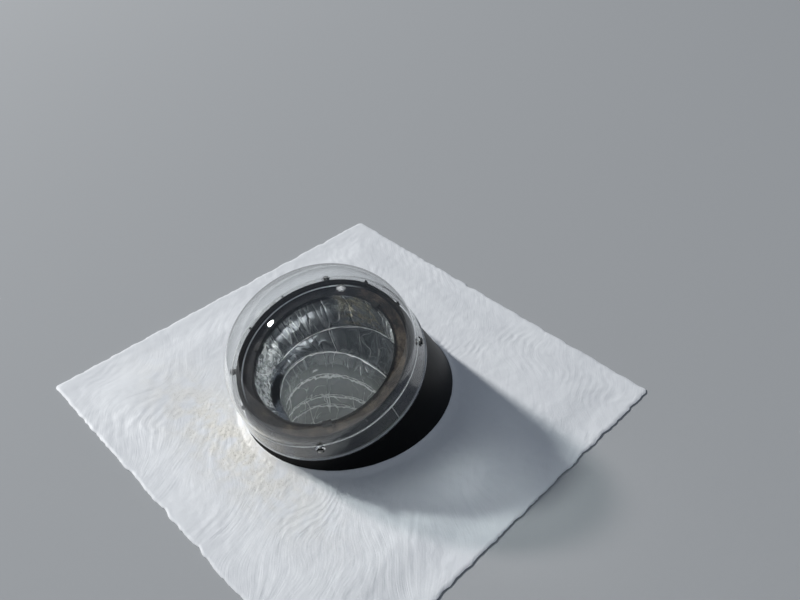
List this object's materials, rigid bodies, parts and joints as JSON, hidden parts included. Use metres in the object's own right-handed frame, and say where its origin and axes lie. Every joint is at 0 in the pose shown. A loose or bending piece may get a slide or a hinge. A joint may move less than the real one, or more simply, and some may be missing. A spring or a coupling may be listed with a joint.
{
  "type": "roof skylight",
  "caption": "Tubular roof skylight: clear cap on a leaning black flashing in a white roof coating, with a bent foil light tube down to a ceiling ring and frosted lens.",
  "frame": {"origin": "middle of the flashing's square flange, on the roof surface that it is fixed to", "axes": "+Z is square to the roof and points outdoors; the turret and cap lean towards -Y by 20.6 degrees; X runs across, and the flashing and cap are the same on both sides of the YZ plane"},
  "size_m": [0.802, 0.79, 0.6434],
  "materials": {
    "clear_acrylic": "clear acrylic, blown dome on a moulded skirt, gloss",
    "stainless_screws": "stainless steel, pan heads, dull",
    "sealing_rubber": "black EPDM rubber, matt",
    "black_flashing": "black ABS, moulded, satin",
    "dusty_ring": "black plastic under a film of pale dust",
    "black_clips": "black nylon, moulded",
    "foil": "crinkled silver laminate foil, bright",
    "spring_wire": "drawn spring steel wire",
    "zinc_screws": "zinc plated steel",
    "sealant": "dark butyl sealant bead, matt",
    "white_coating": "white elastomeric roof coating, brushed on",
    "band_steel": "stainless steel band",
    "white_plastic": "white ABS, moulded",
    "frosted_lens": "frosted acrylic",
    "white_foam": "closed-cell foam gasket"
  },
  "bodies": {
    "root": {"dome_cap": "clear_acrylic", "cap_screws": "stainless_screws", "cap_washers": "sealing_rubber", "flashing": "black_flashing", "tunnel_ring": "dusty_ring", "tunnel_seal": "sealing_rubber", "tube_clips": "black_clips", "light_tube": "foil", "tube_hoops": "spring_wire", "flange_screws": "zinc_screws", "flange_sealant": "sealant", "roof_coating": "white_coating", "tube_strap": "band_steel", "strap_screw": "zinc_screws", "ceiling_ring": "white_plastic", "ceiling_dogs": "white_plastic", "dog_screws": "zinc_screws", "trim_ring": "white_plastic", "diffuser": "frosted_lens", "lens_seal": "white_foam"}
  },
  "joints": []
}
